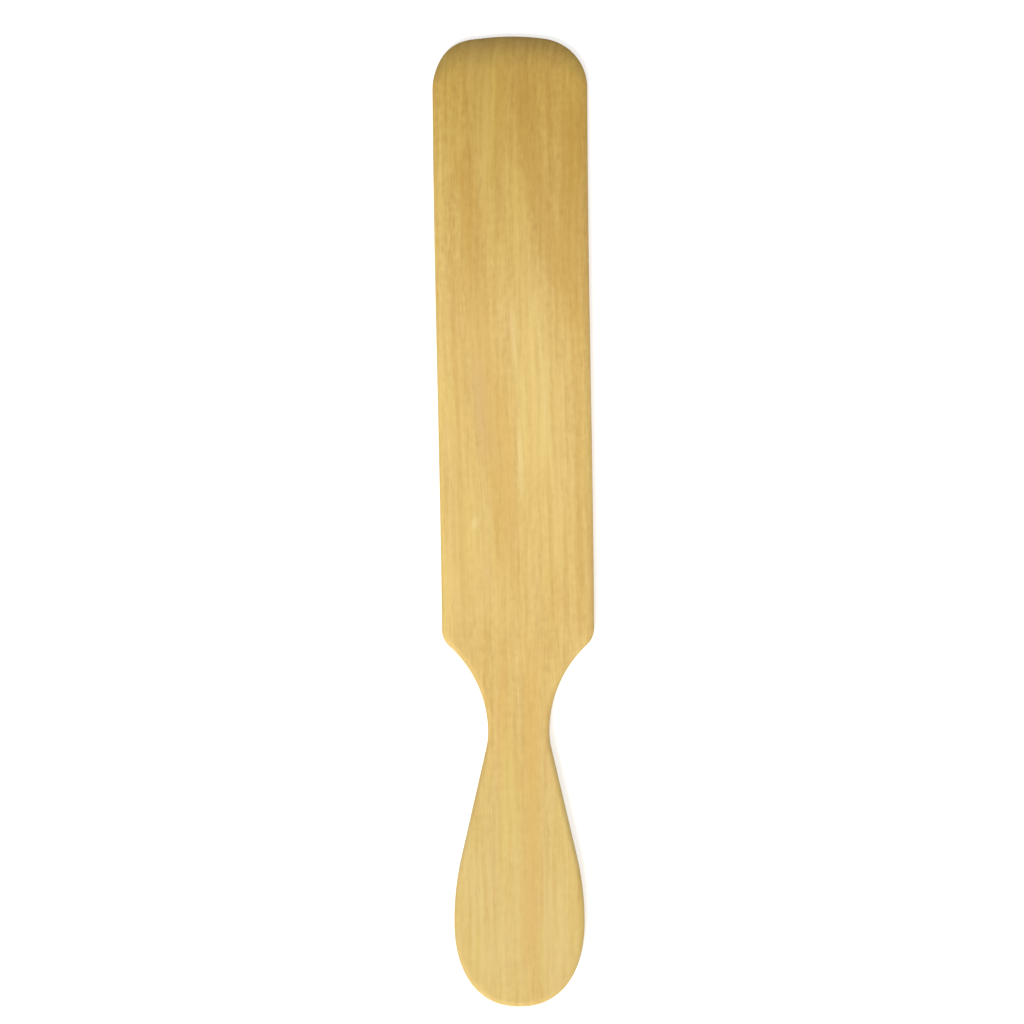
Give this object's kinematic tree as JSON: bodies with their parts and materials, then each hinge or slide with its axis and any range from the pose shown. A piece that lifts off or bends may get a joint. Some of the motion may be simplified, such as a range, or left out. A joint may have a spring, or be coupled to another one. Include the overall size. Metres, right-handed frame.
{
  "type": "wooden spatula",
  "caption": "Flat wooden spatula cut from one board, with a long round-cornered blade that thins to its tip, scooped shoulders, a narrow neck and a teardrop handle.",
  "frame": {"origin": "middle of the box round the part, on the plane of its flat back", "axes": "+Y along the part towards the tip of the blade, +Z out of the top face, +X across the blade"},
  "size_m": [0.0384, 0.24, 0.005],
  "materials": {
    "wood": "matte"
  },
  "bodies": {
    "root": {"spatula": "wood"}
  },
  "joints": []
}
